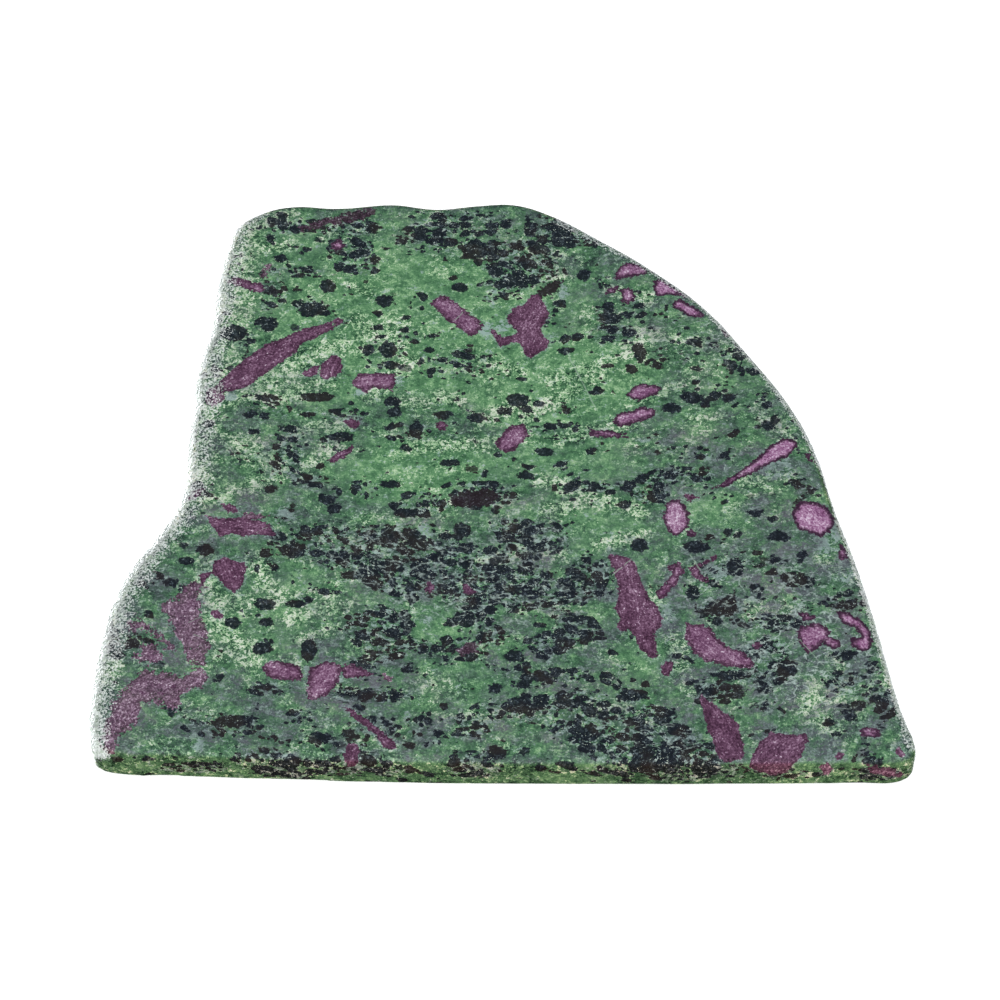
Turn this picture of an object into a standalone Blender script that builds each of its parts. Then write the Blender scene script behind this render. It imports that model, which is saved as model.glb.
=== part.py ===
"""A cut and tumbled slab of ruby in zoisite: one flat piece of rock with a straight front edge,
a long curved side on the right, a wavy back edge and a stepped, more worn side on the left.
Its faces are flat and parallel. Its rim is rounded, broadly where the stone is most worn.
Units are metres, +Z is up, and the origin is at the middle of the underside.
"""

from math import radians

import bmesh
import bpy
import numpy as np

MM = 0.001

# The slab's driving dimensions.
THICKNESS = 8.0 * MM
FOOT_RADIUS = 1.1 * MM  # rounding between the rim and the underside
DEEPEST_SHOULDER = 4.2 * MM  # how far down the rim the widest rounding reaches

# The plan of the widest level, anticlockwise from the front left corner:
# x and y in millimetres, and how wide the rounding is there between the rim and the top face.
OUTLINE_MM = (
    # the straight sawn front edge
    (-69.5, -63.9, 2.0),
    (-60.0, -64.2, 1.5),
    (-40.0, -65.0, 1.4),
    (-15.0, -65.7, 1.4),
    (10.0, -66.0, 1.4),
    (40.0, -66.0, 1.4),
    (65.0, -65.7, 1.4),
    # the crisp front right corner
    (72.8, -65.4, 1.4),
    (75.0, -63.9, 1.5),
    (75.3, -61.0, 1.8),
    # the long curved side
    (73.8, -55.0, 2.4),
    (71.9, -45.0, 2.8),
    (69.8, -33.0, 2.8),
    (67.0, -20.0, 2.8),
    (63.8, -8.0, 2.8),
    (60.9, 5.5, 2.8),
    (56.0, 17.2, 2.6),
    (48.6, 29.2, 2.6),
    (41.5, 39.6, 2.8),
    (31.6, 49.3, 2.8),
    (19.7, 58.3, 2.8),
    # the wavy back edge
    (9.3, 65.0, 2.8),
    (2.5, 67.2, 2.6),
    (-5.0, 66.9, 2.6),
    (-13.0, 66.0, 2.6),
    (-22.0, 67.2, 2.6),
    (-33.5, 66.2, 2.6),
    (-42.5, 66.8, 2.8),
    # the back left corner
    (-49.2, 64.9, 3.0),
    (-54.0, 61.2, 3.4),
    (-56.0, 55.5, 3.8),
    # the worn left side and its small swellings
    (-57.7, 46.5, 4.4),
    (-58.2, 36.0, 4.6),
    (-59.9, 28.5, 4.6),
    (-60.9, 20.5, 4.4),
    (-60.6, 16.3, 4.2),
    (-61.4, 9.5, 4.2),
    (-61.4, -1.0, 4.4),
    (-62.3, -6.8, 5.0),
    (-66.3, -14.6, 6.0),
    (-70.9, -22.2, 6.0),
    (-73.6, -29.6, 5.4),
    (-75.4, -40.0, 5.0),
    (-76.0, -50.0, 4.8),
    # the rounded front left corner
    (-75.9, -57.3, 4.4),
    (-74.1, -62.2, 3.2),
)

# How finely the rounded forms are cut into flat faces.
POINTS_PER_SPAN = 5
FOOT_STEPS = 3
SHOULDER_STEPS = 5

# The stone's overall colour, and its soft polish.
STONE_GREEN = (0.107, 0.153, 0.127, 1.0)
POLISH_ROUGHNESS = 0.35


def clear_scene():
    for obj in list(bpy.data.objects):
        bpy.data.objects.remove(obj, do_unlink=True)


def smooth_outline():
    """Rows of x, y and shoulder width along the closed outline, in metres.

    A closed Bezier curve runs through the points of the outline. Its height isn't a height on
    the stone: it carries the width of the shoulder, so that this changes as smoothly.
    """
    curve = bpy.data.curves.new("outline", "CURVE")
    curve.dimensions = "3D"
    spline = curve.splines.new("BEZIER")
    spline.bezier_points.add(len(OUTLINE_MM) - 1)
    for point, place in zip(spline.bezier_points, OUTLINE_MM):
        point.co = [value * MM for value in place]
        point.handle_left_type = "AUTO"
        point.handle_right_type = "AUTO"
    spline.use_cyclic_u = True
    spline.resolution_u = POINTS_PER_SPAN
    guide = bpy.data.objects.new("outline", curve)
    bpy.context.collection.objects.link(guide)
    bpy.context.view_layer.update()
    line = bpy.data.meshes.new_from_object(guide)
    rows = np.array([vertex.co[:] for vertex in line.vertices])
    bpy.data.meshes.remove(line)
    bpy.data.objects.remove(guide)
    bpy.data.curves.remove(curve)
    return rows


def centred(plan):
    return plan - (plan.min(axis=0) + plan.max(axis=0)) / 2


def inward(plan):
    """Unit vectors that point into the stone, square to an anticlockwise outline."""
    along = np.roll(plan, -1, axis=0) - np.roll(plan, 1, axis=0)
    across = np.stack([-along[:, 1], along[:, 0]], axis=1)
    return across / np.linalg.norm(across, axis=1)[:, None]


def rim_rings(plan, shoulder):
    """The rings of the rim from the underside up to the top face, each one point per plan point."""
    sideways = inward(plan)
    drop = np.minimum(shoulder, DEEPEST_SHOULDER)
    insets_and_heights = []
    for turn in np.linspace(0, np.pi / 2, FOOT_STEPS + 1):
        inset = np.full(len(plan), FOOT_RADIUS * (1 - np.sin(turn)))
        height = np.full(len(plan), FOOT_RADIUS * (1 - np.cos(turn)))
        insets_and_heights.append((inset, height))
    for turn in np.linspace(0, np.pi / 2, SHOULDER_STEPS + 1):
        inset = shoulder * (1 - np.cos(turn))
        height = THICKNESS - drop * (1 - np.sin(turn))
        insets_and_heights.append((inset, height))
    return [
        np.column_stack([plan + sideways * inset[:, None], height])
        for inset, height in insets_and_heights
    ]


def loft(rings):
    """A closed mesh through the rings, with a flat face inside the first and the last."""
    shape = bmesh.new()
    loops = [[shape.verts.new(place) for place in ring] for ring in rings]
    for lower, upper in zip(loops, loops[1:]):
        for here in range(len(lower)):
            behind = here - 1
            shape.faces.new((lower[behind], lower[here], upper[here], upper[behind]))
    shape.faces.new(reversed(loops[0]))
    shape.faces.new(loops[-1])
    mesh = bpy.data.meshes.new("zoisite_slab")
    shape.to_mesh(mesh)
    shape.free()
    return mesh


def stone_material():
    material = bpy.data.materials.new("ruby_zoisite")
    material.use_nodes = True
    shader = material.node_tree.nodes["Principled BSDF"]
    shader.inputs["Base Color"].default_value = STONE_GREEN
    shader.inputs["Roughness"].default_value = POLISH_ROUGHNESS
    shader.inputs["Metallic"].default_value = 0.0
    return material


def zoisite_slab(collection):
    outline = smooth_outline()
    mesh = loft(rim_rings(centred(outline[:, :2]), outline[:, 2]))
    mesh.materials.append(stone_material())
    mesh.shade_smooth()
    mesh.set_sharp_from_angle(angle=radians(30))
    slab = bpy.data.objects.new("zoisite_slab", mesh)
    collection.objects.link(slab)
    return slab


def main():
    clear_scene()
    collection = bpy.data.collections.new("ruby_in_zoisite")
    bpy.context.scene.collection.children.link(collection)
    zoisite_slab(collection)


main()
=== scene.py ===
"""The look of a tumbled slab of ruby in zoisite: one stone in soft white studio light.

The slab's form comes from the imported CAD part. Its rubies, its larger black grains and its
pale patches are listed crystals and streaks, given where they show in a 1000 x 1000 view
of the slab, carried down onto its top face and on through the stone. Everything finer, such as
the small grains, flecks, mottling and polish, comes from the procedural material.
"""
from math import cos, radians, sin, tan

import bmesh
import bpy
import numpy as np
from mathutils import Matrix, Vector, noise
from mathutils.bvhtree import BVHTree


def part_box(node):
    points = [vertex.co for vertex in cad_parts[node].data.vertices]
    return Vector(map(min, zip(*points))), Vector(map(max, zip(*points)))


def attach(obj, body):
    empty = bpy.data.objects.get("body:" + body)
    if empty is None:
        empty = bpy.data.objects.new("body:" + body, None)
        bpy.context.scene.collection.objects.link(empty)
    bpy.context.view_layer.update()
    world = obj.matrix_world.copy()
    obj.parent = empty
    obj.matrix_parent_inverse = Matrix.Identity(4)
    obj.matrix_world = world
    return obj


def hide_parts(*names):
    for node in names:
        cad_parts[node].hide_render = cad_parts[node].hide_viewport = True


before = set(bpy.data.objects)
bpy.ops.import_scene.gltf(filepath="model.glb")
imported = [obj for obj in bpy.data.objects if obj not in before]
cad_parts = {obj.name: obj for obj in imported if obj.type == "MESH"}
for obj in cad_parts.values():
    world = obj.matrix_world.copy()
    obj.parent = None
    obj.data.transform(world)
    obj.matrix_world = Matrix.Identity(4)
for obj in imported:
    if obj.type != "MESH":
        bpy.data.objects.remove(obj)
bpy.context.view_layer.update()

MM = 0.001
NODE = "zoisite_slab"
LOW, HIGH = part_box(NODE)
TOP = HIGH.z

# ---------------------------------------------------------------- the camera

PICTURE = 1000  # the view's width and height, in pixels
SENSOR_MM = 36.0
LENS_MM = 116.0
CAMERA_RISE = radians(55)  # how far above the horizon it stands
CAMERA_DISTANCE = 0.62
AIM = Vector((0.0002, -0.0055, 0.004))
FOCAL_PIXELS = LENS_MM / SENSOR_MM * PICTURE
FORWARD = Vector((0, cos(CAMERA_RISE), -sin(CAMERA_RISE)))
UPWARD = Vector((0, sin(CAMERA_RISE), cos(CAMERA_RISE)))
EYE = AIM - FORWARD * CAMERA_DISTANCE


def on_top(pixels):
    """Where rays through these pixels of the view meet the plane of the top face, in millimetres."""
    pixels = np.asarray(pixels, float)
    across = (pixels[:, :1] - PICTURE / 2) / FOCAL_PIXELS
    down = (pixels[:, 1:] - PICTURE / 2) / FOCAL_PIXELS
    rays = np.array(FORWARD) + across * np.array((1, 0, 0)) - down * np.array(UPWARD)
    reach = (TOP - EYE.z) / rays[:, 2:]
    return (np.array(EYE) + rays * reach)[:, :2] / MM


def add_camera():
    data = bpy.data.cameras.new("camera")
    data.sensor_width = SENSOR_MM
    data.lens = LENS_MM
    camera = bpy.data.objects.new("camera", data)
    camera.location = EYE
    camera.rotation_euler = (radians(90) - CAMERA_RISE, 0, 0)
    bpy.context.scene.collection.objects.link(camera)
    bpy.context.scene.camera = camera


# ------------------------------------------------- crystals seen in the stone

# How the rubies differ: how pink they are, how dark their rim is, how solid they look, how
# pale the zoisite is just around them, each from 0 to 1, and how many tones darker they are.
RUBY_KINDS = {
    "plum": (0.1, 0.2, 1.0, 0.5, 0.0),
    "dusky": (0.12, 0.25, 1.0, 0.2, 0.2),
    "frayed": (0.25, 0.1, 0.68, 0.3, 0.0),
    "wine": (0.4, 0.4, 0.95, 0.2, 0.0),
    "rose": (0.75, 0.9, 0.95, 0.2, 0.0),
    "pink": (1.0, 1.0, 1.0, 0.1, 0.0),
    "faint": (0.2, 0.0, 0.7, 0.0, 0.0),
    "smoky": (0.0, 0.0, 0.75, 0.0, 1.0),
    "brown": (0.0, 0.0, 0.85, 0.0, 2.1),
}

# Each ruby's kind and the corners of its outline, in pixels of the view.
RUBIES = (
    ("dusky", ((212, 388), (221, 380), (232, 370), (252, 353), (268, 343), (297, 331), (331, 321),
               (336, 329), (322, 335), (304, 343), (290, 357), (270, 370), (247, 387), (232, 392))),
    ("plum", ((204, 393), (209, 388), (220, 387), (225, 398), (218, 405), (210, 407), (205, 402))),
    ("plum", ((321, 363), (330, 356), (338, 355), (342, 358), (343, 370), (337, 377), (325, 380),
              (320, 376))),
    ("plum", ((302, 372), (310, 367), (320, 365), (319, 372), (312, 376), (305, 377))),
    ("wine", ((353, 382), (359, 373), (394, 372), (396, 378), (393, 390), (372, 389), (367, 394),
              (362, 393), (360, 389), (352, 387))),
    ("wine", ((225, 280), (233, 276), (247, 281), (261, 283), (266, 289), (261, 293), (249, 290),
              (239, 286), (227, 283))),
    ("frayed", ((261, 268), (265, 264), (272, 263), (271, 268), (267, 277), (261, 277))),
    ("rose", ((330, 243), (337, 239), (343, 239), (347, 247), (340, 251), (332, 249))),
    ("smoky", ((298, 228), (317, 222), (340, 214), (360, 209), (378, 207), (377, 215), (360, 220),
               (340, 224), (323, 228), (307, 231))),
    ("brown", ((447, 501), (452, 495), (466, 491), (480, 488), (494, 490), (500, 496), (494, 503),
               (478, 508), (462, 508), (450, 506))),
    ("wine", ((430, 303), (440, 294), (450, 298), (463, 308), (474, 316), (484, 325), (482, 330),
              (474, 336), (467, 334), (457, 327), (446, 319), (435, 310))),
    ("plum", ((507, 315), (513, 308), (523, 305), (532, 294), (541, 294), (545, 305), (550, 313),
              (542, 327), (540, 333), (552, 342), (547, 348), (530, 359), (526, 355), (519, 343),
              (510, 343), (502, 348), (497, 343), (488, 328), (495, 330), (503, 337), (518, 333),
              (507, 322))),
    ("brown", ((536, 292), (546, 285), (557, 280), (564, 281), (558, 290), (549, 297), (542, 300))),
    ("rose", ((614, 279), (620, 266), (628, 262), (638, 262), (655, 273), (640, 276), (622, 278),
              (616, 281))),
    ("rose", ((605, 291), (610, 286), (618, 285), (620, 288), (616, 293), (607, 294))),
    ("rose", ((620, 292), (625, 287), (632, 288), (636, 295), (634, 302), (628, 305), (620, 302))),
    ("pink", ((653, 290), (654, 280), (662, 278), (680, 290), (690, 297), (672, 295), (657, 296))),
    ("pink", ((672, 306), (674, 301), (681, 299), (697, 308), (705, 315), (702, 319), (685, 315))),
    ("pink", ((720, 328), (727, 330), (732, 335), (727, 338), (722, 335))),
    ("rose", ((627, 393), (633, 387), (643, 383), (655, 385), (661, 388), (659, 394), (640, 401),
              (632, 399))),
    ("rose", ((613, 418), (620, 413), (642, 407), (651, 408), (657, 412), (653, 417), (622, 428),
              (614, 425))),
    ("rose", ((587, 430), (600, 429), (615, 431), (625, 434), (628, 438), (608, 438), (590, 436))),
    ("pink", ((710, 489), (730, 477), (747, 465), (768, 447), (785, 437), (797, 441), (799, 447),
              (787, 457), (767, 466), (747, 476), (727, 487))),
    ("rose", ((805, 452), (810, 450), (813, 457), (816, 462), (810, 464), (806, 458))),
    ("rose", ((662, 516), (666, 503), (672, 499), (680, 500), (687, 507), (690, 515), (689, 527),
              (683, 533), (675, 537), (668, 532), (665, 525))),
    ("plum", ((682, 493), (692, 494), (700, 498), (690, 501), (684, 499))),
    ("rose", ((685, 530), (695, 530), (696, 535), (690, 538))),
    ("pink", ((792, 516), (797, 503), (805, 501), (818, 502), (828, 507), (836, 521), (830, 532),
              (822, 537), (812, 533), (798, 530))),
    ("rose", ((838, 538), (843, 543), (848, 553), (853, 563), (847, 560), (840, 560))),
    ("dusky", ((607, 553), (622, 556), (634, 559), (639, 573), (644, 586), (649, 598), (658, 607),
              (663, 617), (662, 625), (654, 633), (657, 644), (658, 655), (653, 661), (643, 653),
              (637, 643), (631, 630), (620, 632), (615, 625), (620, 618), (614, 608), (619, 597),
              (616, 578))),
    ("plum", ((660, 667), (667, 660), (673, 662), (672, 671), (668, 677), (663, 675))),
    ("wine", ((655, 592), (663, 585), (672, 573), (663, 567), (680, 562), (685, 570), (678, 582),
              (667, 597), (658, 600))),
    ("wine", ((687, 568), (697, 563), (717, 555), (718, 560), (698, 568), (702, 575), (712, 582),
              (703, 582), (693, 577))),
    ("wine", ((685, 622), (696, 624), (712, 627), (717, 638), (727, 647), (740, 650), (754, 661),
              (752, 669), (730, 667), (706, 662), (695, 654), (684, 638))),
    ("dusky", ((699, 694), (713, 703), (725, 712), (739, 725), (742, 738), (746, 752), (743, 760),
               (725, 763), (717, 754), (710, 734), (703, 715))),
    ("dusky", ((750, 758), (761, 739), (771, 732), (785, 733), (797, 735), (806, 732), (807, 740),
               (804, 754), (795, 766), (790, 776), (775, 779), (761, 776), (751, 768))),
    ("rose", ((796, 611), (805, 612), (816, 617), (812, 622), (803, 620))),
    ("rose", ((797, 634), (801, 627), (812, 622), (826, 625), (831, 635), (840, 640), (843, 646),
              (834, 651), (824, 643), (817, 649), (808, 655), (800, 646))),
    ("pink", ((837, 611), (848, 612), (860, 618), (870, 630), (873, 640), (871, 650), (863, 653),
              (852, 646), (850, 638), (860, 636), (854, 628), (841, 622))),
    ("wine", ((750, 645), (757, 641), (763, 645), (756, 651))),
    ("rose", ((860, 730), (867, 727), (876, 727), (883, 731), (880, 737), (870, 739), (861, 735))),
    ("plum", ((893, 750), (899, 747), (904, 752), (906, 758), (898, 756))),
    ("plum", ((834, 756), (839, 752), (845, 753), (845, 759), (837, 762))),
    ("wine", ((865, 762), (874, 765), (896, 769), (912, 777), (905, 783), (892, 783), (870, 776))),
    ("plum", ((820, 766), (828, 762), (836, 769), (833, 780), (822, 780))),
    ("plum", ((800, 772), (809, 771), (806, 778))),
    ("plum", ((343, 758), (345, 752), (350, 743), (356, 742), (360, 747), (359, 760), (356, 768),
              (350, 771), (345, 765))),
    ("plum", ((342, 707), (350, 707), (368, 720), (387, 735), (393, 740), (400, 748), (387, 750),
              (375, 735), (353, 718))),
    ("wine", ((261, 667), (268, 661), (283, 662), (297, 664), (303, 668), (303, 677), (295, 681),
              (272, 679))),
    ("wine", ((309, 667), (320, 662), (335, 662), (341, 667), (340, 680), (335, 690), (327, 695),
              (317, 700), (308, 698), (307, 687))),
    ("wine", ((343, 664), (350, 664), (370, 672), (375, 675), (357, 678), (343, 680))),
    ("faint", ((383, 673), (393, 678), (391, 681), (384, 677))),
    ("wine", ((424, 590), (428, 582), (435, 585), (435, 592), (428, 595))),
    ("wine", ((461, 585), (467, 583), (473, 587), (477, 592), (470, 596), (463, 592))),
    ("smoky", ((457, 650), (467, 642), (478, 642), (480, 650), (472, 655), (460, 654))),
    ("wine", ((496, 443), (500, 435), (508, 428), (515, 424), (523, 423), (528, 429), (528, 436),
              (517, 450), (507, 453), (500, 452))),
    ("wine", ((433, 425), (437, 421), (444, 421), (449, 426), (446, 431), (440, 432))),
    ("wine", ((325, 463), (331, 455), (341, 450), (353, 447), (353, 452), (343, 459), (332, 465))),
    ("plum", ((343, 421), (350, 419), (359, 420), (361, 424), (353, 429), (346, 427))),
    ("plum", ((331, 322), (338, 318), (344, 320), (342, 324), (336, 326))),
    ("rose", ((185, 497), (193, 490), (202, 487), (206, 488), (202, 495), (195, 500), (188, 502))),
    ("plum", ((205, 515), (220, 518), (243, 517), (265, 522), (270, 525), (277, 537), (258, 535),
              (243, 537), (233, 534), (220, 537), (213, 530))),
    ("plum", ((218, 503), (228, 504), (238, 508), (237, 513), (228, 512))),
    ("faint", ((244, 512), (250, 508), (253, 513), (267, 516), (260, 519), (247, 519))),
    ("plum", ((212, 565), (214, 560), (225, 557), (232, 562), (245, 561), (247, 571), (243, 584),
              (236, 594), (227, 588), (220, 580), (214, 575))),
    ("plum", ((197, 575), (203, 571), (212, 572), (210, 578), (202, 583))),
    ("frayed", ((180, 590), (187, 583), (197, 582), (203, 587), (200, 607), (208, 627), (210, 640),
              (207, 663), (200, 665), (190, 663), (180, 645), (168, 623), (160, 605), (172, 600))),
    ("plum", ((207, 612), (213, 609), (220, 610), (224, 618), (217, 620))),
    ("frayed", ((122, 622), (135, 620), (150, 622), (163, 635), (178, 650), (173, 653), (153, 637),
               (143, 632), (130, 632))),
    ("frayed", ((133, 658), (138, 652), (143, 643), (152, 645), (162, 650), (165, 658), (153, 663),
              (138, 663))),
    ("frayed", ((212, 675), (213, 680), (202, 687), (187, 692), (180, 697), (176, 711), (167, 708),
              (155, 703), (143, 705), (140, 713), (128, 732), (120, 737), (118, 747), (113, 755),
              (101, 757), (102, 727), (112, 703), (123, 687), (147, 667), (167, 672), (180, 677),
              (193, 670), (203, 670))),
)

# Where black amphibole gathers: the middle of each swarm, its half width and half height in
# pixels of the view, and how much of the zoisite it takes up, from 0 to 1.
SWARMS = (
    (465, 235, 82, 28, 0.6), (520, 262, 45, 28, 0.95), (495, 288, 20, 16, 0.8),
    (562, 236, 32, 20, 0.6), (355, 228, 28, 9, 0.8), (360, 265, 26, 12, 0.8),
    (285, 228, 22, 14, 0.7), (272, 288, 14, 8, 0.7), (300, 272, 38, 6, 0.7),
    (325, 226, 30, 8, 0.8), (350, 248, 24, 10, 0.8),
    (312, 307, 22, 10, 0.7), (270, 302, 14, 12, 0.7), (265, 324, 13, 9, 0.7),
    (383, 352, 22, 18, 0.6), (412, 336, 14, 8, 0.6), (455, 364, 34, 16, 0.6),
    (262, 406, 26, 13, 0.5), (345, 414, 30, 6, 0.7), (410, 430, 25, 14, 0.45),
    (290, 455, 16, 30, 0.75), (312, 482, 30, 8, 0.7), (365, 458, 24, 9, 0.65),
    (360, 490, 20, 12, 0.6), (420, 503, 30, 12, 0.7), (480, 494, 36, 14, 0.8),
    (290, 540, 28, 26, 0.5), (330, 545, 48, 22, 0.75), (385, 545, 45, 22, 0.9),
    (430, 560, 50, 30, 0.9), (400, 580, 30, 20, 0.8), (515, 530, 24, 14, 1.0),
    (545, 538, 24, 18, 1.0), (480, 582, 62, 24, 1.0), (540, 592, 50, 20, 1.0),
    (588, 575, 24, 24, 0.75), (160, 578, 30, 12, 0.25), (195, 545, 25, 12, 0.3),
    (122, 640, 18, 24, 0.8), (378, 625, 36, 20, 1.0), (385, 650, 25, 14, 0.9),
    (275, 690, 28, 8, 0.5), (222, 726, 46, 11, 0.7), (300, 715, 14, 8, 0.6),
    (370, 695, 46, 9, 0.9), (440, 645, 50, 9, 0.7), (490, 636, 18, 12, 0.8),
    (550, 645, 28, 14, 0.8), (550, 676, 52, 14, 0.65), (530, 710, 60, 14, 0.8),
    (580, 700, 34, 12, 1.0), (600, 738, 36, 14, 1.0), (650, 748, 56, 20, 1.0),
    (630, 696, 20, 8, 0.8), (655, 715, 25, 10, 1.0), (665, 735, 30, 16, 0.8),
    (575, 625, 26, 16, 0.6), (365, 665, 20, 10, 0.8), (370, 727, 26, 12, 0.6),
    (475, 725, 26, 14, 0.8), (320, 745, 40, 8, 0.5),
    (712, 692, 32, 12, 0.8), (735, 675, 20, 6, 0.8), (765, 665, 30, 26, 0.75),
    (770, 622, 38, 10, 0.8), (722, 610, 26, 12, 0.8), (775, 558, 44, 11, 0.4),
    (735, 566, 12, 12, 0.7), (795, 580, 24, 8, 0.5), (800, 602, 34, 9, 0.25),
    (840, 598, 18, 14, 0.6), (845, 682, 26, 12, 0.8), (880, 698, 16, 16, 0.8),
    (650, 492, 20, 14, 0.9), (680, 475, 40, 10, 0.8), (600, 486, 40, 7, 0.85),
    (705, 452, 46, 9, 0.5), (785, 420, 12, 9, 0.5), (690, 352, 34, 16, 0.35),
    (612, 334, 28, 10, 0.8), (600, 315, 18, 9, 0.5), (645, 310, 24, 11, 0.4),
    (685, 328, 28, 9, 0.4), (742, 362, 28, 15, 0.4), (735, 398, 50, 10, 0.3),
    (560, 312, 14, 16, 0.4), (560, 430, 34, 9, 0.5),
    (545, 408, 34, 8, 0.5), (570, 468, 18, 12, 0.5), (800, 487, 12, 13, 0.6),
    (700, 748, 26, 12, 0.8), (850, 655, 22, 9, 0.6),
    (285, 769, 40, 13, 1.0), (335, 770, 34, 10, 0.8), (385, 770, 24, 9, 1.0),
    (430, 772, 16, 8, 0.4), (475, 772, 30, 10, 1.0), (560, 772, 30, 8, 0.25),
    (625, 770, 30, 10, 0.6), (680, 772, 48, 13, 1.0), (728, 772, 26, 9, 0.7),
    (790, 776, 40, 6, 0.3), (880, 776, 30, 8, 0.9), (190, 770, 40, 7, 0.8),
    (270, 470, 16, 10, 0.5), (378, 568, 26, 22, 1.0), (480, 560, 40, 14, 0.7),
    (520, 565, 30, 14, 0.7), (475, 615, 25, 14, 0.8), (425, 668, 30, 8, 0.5),
    (470, 655, 25, 8, 0.6), (870, 668, 12, 8, 0.6), (570, 725, 30, 14, 0.9),
    (620, 715, 30, 10, 0.9), (680, 735, 24, 12, 0.9), (770, 712, 14, 10, 0.6),
    (360, 757, 22, 8, 0.9), (470, 757, 26, 7, 0.9), (690, 760, 40, 10, 1.0),
    (870, 758, 16, 8, 0.6), (262, 757, 34, 9, 0.9), (650, 725, 26, 14, 0.9), (770, 735, 20, 8, 0.5),
)

# Single black grains: the middle of each, its half length and half height in pixels.
GRAINS = (
    (234, 333, 14, 8), (328, 286, 8, 7), (269, 324, 9, 7), (317, 397, 17, 5), (391, 484, 10, 4),
    (388, 350, 9, 8), (368, 350, 6, 6), (392, 365, 9, 4), (384, 301, 10, 6), (432, 336, 5, 3),
    (429, 350, 5, 3), (312, 309, 14, 7), (392, 402, 9, 5), (395, 412, 7, 6), (308, 415, 8, 3),
    (340, 437, 14, 5), (320, 467, 5, 4), (328, 500, 9, 5), (334, 509, 8, 5), (405, 513, 12, 5),
    (250, 415, 7, 4), (209, 424, 6, 4), (254, 432, 6, 3), (270, 489, 8, 4), (257, 569, 3, 5),
    (265, 604, 11, 6), (296, 604, 10, 4), (266, 622, 8, 4), (233, 623, 8, 6), (309, 650, 8, 12),
    (262, 648, 11, 7), (462, 530, 9, 8), (294, 550, 12, 8), (265, 553, 6, 5), (353, 575, 12, 5),
    (518, 400, 12, 7), (505, 411, 8, 4), (478, 418, 9, 5), (443, 415, 11, 4), (416, 430, 7, 9),
    (450, 463, 9, 4), (527, 476, 10, 4), (545, 452, 10, 4), (590, 452, 5, 3), (485, 473, 4, 4),
    (498, 455, 4, 3), (568, 489, 4, 3), (566, 351, 8, 4), (640, 355, 6, 6),
    (657, 365, 6, 4), (632, 369, 6, 5), (671, 408, 11, 5), (690, 397, 9, 6), (705, 403, 5, 5),
    (728, 398, 7, 5), (767, 405, 6, 4), (768, 425, 8, 5), (584, 275, 7, 6), (561, 236, 10, 6),
    (640, 545, 9, 7), (696, 547, 13, 6), (735, 567, 9, 9), (757, 588, 7, 5), (693, 593, 7, 7),
    (790, 578, 11, 6), (806, 582, 9, 6), (722, 609, 16, 8), (787, 669, 11, 9), (755, 513, 8, 4),
    (728, 532, 5, 4), (778, 536, 11, 5), (828, 722, 6, 5), (837, 734, 5, 3), (850, 717, 7, 4),
    (847, 655, 7, 6), (765, 690, 9, 5), (733, 675, 18, 5), (523, 685, 9, 4), (495, 688, 7, 5),
    (541, 676, 9, 6), (514, 656, 10, 6), (481, 638, 5, 6), (590, 733, 10, 7), (635, 695, 14, 6),
    (525, 708, 14, 6), (645, 766, 18, 8), (712, 768, 10, 7), (235, 721, 20, 6), (289, 765, 10, 7),
    (564, 764, 10, 4), (409, 772, 6, 4), (497, 752, 10, 7), (320, 738, 14, 6), (349, 733, 7, 5),
    (444, 706, 5, 4), (438, 734, 5, 4), (170, 582, 8, 5), (186, 561, 9, 4), (205, 550, 9, 6),
    (475, 250, 14, 9), (560, 240, 9, 7), (610, 318, 12, 6), (453, 278, 5, 3),
)

# Streaks of pale yellow-green flecks: both ends and the half width, in pixels.
FLECK_STREAKS = (
    (415, 448, 495, 443, 8), (525, 418, 578, 388, 8), (548, 512, 592, 498, 8),
    (600, 545, 645, 535, 6), (365, 335, 400, 325, 10), (360, 350, 395, 345, 6),
    (480, 360, 520, 372, 6), (600, 362, 640, 352, 6), (625, 345, 660, 340, 5),
    (690, 418, 725, 416, 4), (725, 345, 740, 355, 6), (320, 612, 350, 605, 7),
    (220, 655, 250, 645, 8), (205, 600, 250, 600, 10), (815, 690, 850, 715, 12),
    (230, 440, 260, 445, 10), (300, 355, 330, 348, 8), (255, 370, 290, 380, 10),
    (480, 560, 560, 555, 6), (740, 605, 790, 612, 6), (440, 720, 520, 712, 6),
    (350, 285, 370, 295, 5), (320, 238, 335, 232, 3), (545, 278, 570, 276, 4),
    (590, 710, 625, 705, 6), (395, 400, 430, 404, 6), (440, 395, 460, 402, 6),
    (240, 240, 236, 310, 16), (232, 330, 215, 370, 14), (208, 430, 200, 480, 16),
    (270, 400, 330, 380, 9), (300, 430, 350, 425, 7), (355, 320, 400, 345, 9),
    (480, 420, 520, 405, 8), (555, 380, 600, 370, 10), (540, 480, 640, 512, 7),
    (150, 520, 190, 512, 8), (760, 410, 790, 440, 8), (820, 560, 850, 575, 8),
    (215, 620, 250, 660, 12), (120, 620, 110, 680, 8), (250, 250, 290, 245, 6),
    (540, 250, 580, 262, 5), (610, 290, 650, 300, 6), (300, 640, 340, 628, 6),
    (260, 385, 340, 345, 12), (210, 405, 260, 390, 10), (225, 440, 280, 470, 12),
    (205, 500, 260, 485, 9), (300, 470, 340, 440, 8), (370, 395, 410, 360, 9),
    (205, 560, 215, 640, 9), (255, 560, 275, 600, 9), (290, 620, 330, 600, 8),
    (650, 595, 680, 650, 9), (670, 640, 690, 690, 7), (800, 690, 840, 740, 12),
    (745, 480, 790, 475, 8), (640, 400, 690, 380, 6), (560, 440, 640, 420, 7),
    (250, 225, 290, 215, 8), (640, 330, 700, 345, 6), (820, 640, 850, 680, 6),
)

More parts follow.
